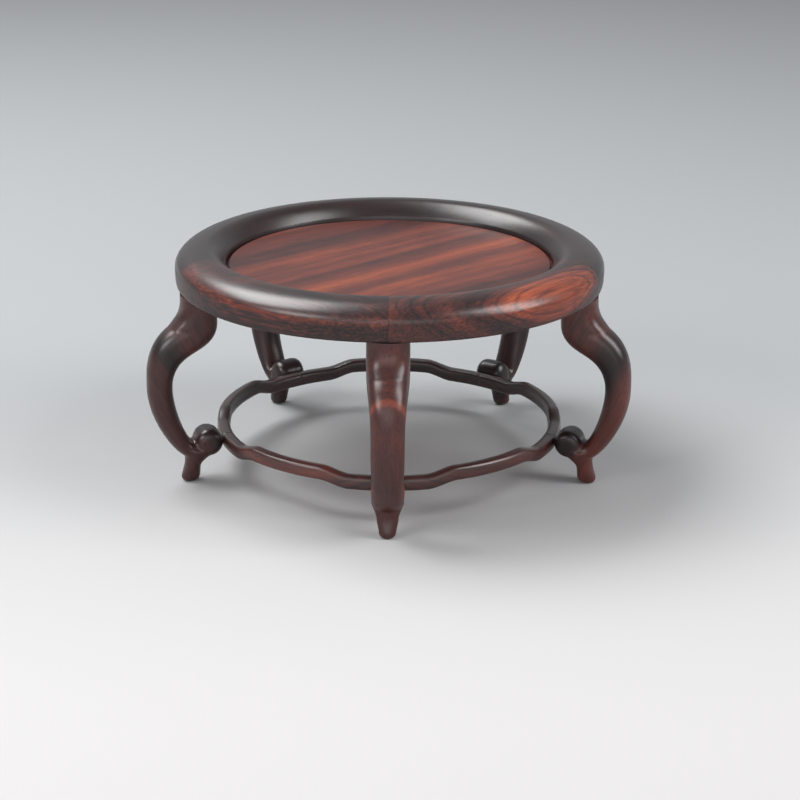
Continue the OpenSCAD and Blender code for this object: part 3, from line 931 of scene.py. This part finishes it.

# %% [markdown]
# ## Floor
# The stand is shown on a sheet of pale paper whose colour turns a little cooler and darker towards the
# back: painted shade, for the light that falls off with depth. A lamp could be dimmed there, but it would
# change the wood too. So the paper's colour itself fades with depth.

# %% Floor
FLOOR_SIZE = 3.0
# The far colour and the fade towards it are painted shade, darker and cooler at the back.
PAPER_NEAR, PAPER_FAR_SHADE = (0.74, 0.727, 0.727, 1.0), (0.468, 0.486, 0.495, 1.0)
PAPER_SHADE_FADE, PAPER_ROUGHNESS = (-0.18, 0.09), 0.85

half = FLOOR_SIZE / 2
corners = [(-half, -half, 0), (half, -half, 0), (half, half, 0), (-half, half, 0)]
floor_mesh = bpy.data.meshes.new("floor")
floor_mesh.from_pydata(corners, [], [(0, 1, 2, 3)])
floor = bpy.data.objects.new("floor", floor_mesh)
bpy.context.scene.collection.objects.link(floor)

paper = bpy.data.materials.new("paper")
paper.use_nodes = True
tree = paper.node_tree
tree.nodes.clear()
where = place(tree, "ShaderNodeTexCoord").outputs["Object"]
depth = place(tree, "ShaderNodeSeparateXYZ", {}, {"Vector": where}).outputs["Y"]
# The paper's colour fades towards the far colour with depth: painted shade.
shaded_paper_colour = blend(tree, remap(tree, depth, *PAPER_SHADE_FADE), PAPER_NEAR, PAPER_FAR_SHADE)
shader = place(tree, "ShaderNodeBsdfPrincipled", {}, {"Base Color": shaded_paper_colour, "Roughness": PAPER_ROUGHNESS})
output = place(tree, "ShaderNodeOutputMaterial")
tree.links.new(shader.outputs["BSDF"], output.inputs["Surface"])
finish(floor, paper)
print("floor:", FLOOR_SIZE, "m of paper")

# %% [markdown]
# ## Lamps
# Rounded, waxed wood is drawn by what it mirrors. A bare bulb would leave hard sparks on it. Three
# large soft lamps are used: a broad one high at the left and a little behind, which lays the long
# highlight on the rim, a tall one at the right, and a small low one at the front left for the legs.

# %% Lamps
LAMP_DISTANCE = 0.95


def lamp(name, towards, size, power):
    """A soft rectangular lamp that faces the stand."""
    light = bpy.data.lights.new(name, "AREA")
    light.shape = "RECTANGLE"
    light.size, light.size_y = size
    light.energy = power
    source = bpy.data.objects.new(name, light)
    source.location = Vector(towards).normalized() * LAMP_DISTANCE
    source.rotation_euler = Vector(towards).to_track_quat("Z", "Y").to_euler()
    bpy.context.scene.collection.objects.link(source)
    return source


lamps = [
    lamp("left lamp", (-0.50, 0.22, 0.84), (0.7, 0.5), 7.8),
    lamp("right lamp", (0.76, -0.20, 0.62), (0.4, 0.7), 4.5),
    lamp("front lamp", (-0.67, -0.54, 0.50), (0.4, 0.26), 1.9),
]
print("lamps:", len(lamps), "at", LAMP_DISTANCE, "m")

# %% [markdown]
# ## Room
# The room fills the shade with a little light, and the wood mirrors it where no lamp is seen. An even
# grey would flatten the form. Here the room is dim at the sides, a little brighter behind, and bright
# low in front, as if a white wall stood behind the photographer.

# %% Room
ROOM_SIDE, ROOM_BACK = (0.15, 0.15, 0.16, 1.0), (0.29, 0.3, 0.31, 1.0)
ROOM_FRONT = (1.4, 1.4, 1.42, 1.0)
BACK_RANGE, FRONT_RANGE = (0.35, 0.9), (-0.7, -0.97)

world = bpy.data.worlds.new("room")
bpy.context.scene.world = world
world.use_nodes = True
tree = world.node_tree
tree.nodes.clear()
towards = place(tree, "ShaderNodeTexCoord").outputs["Generated"]
depth = place(tree, "ShaderNodeSeparateXYZ", {}, {"Vector": towards}).outputs["Y"]
room = blend(tree, remap(tree, depth, *BACK_RANGE), ROOM_SIDE, ROOM_BACK)
room = blend(tree, remap(tree, depth, *FRONT_RANGE), room, ROOM_FRONT)
glow = place(tree, "ShaderNodeBackground", {}, {"Color": room})
tree.links.new(glow.outputs["Background"], place(tree, "ShaderNodeOutputWorld").inputs["Surface"])
bpy.context.scene.view_settings.view_transform = "Standard"
print("room:", len(tree.nodes), "nodes, brightest in front")

# %% [markdown]
# ## Finish
# The view layer is brought up to date once more, so that every piece stands where it was put.

# %% Finish
bpy.context.view_layer.update()
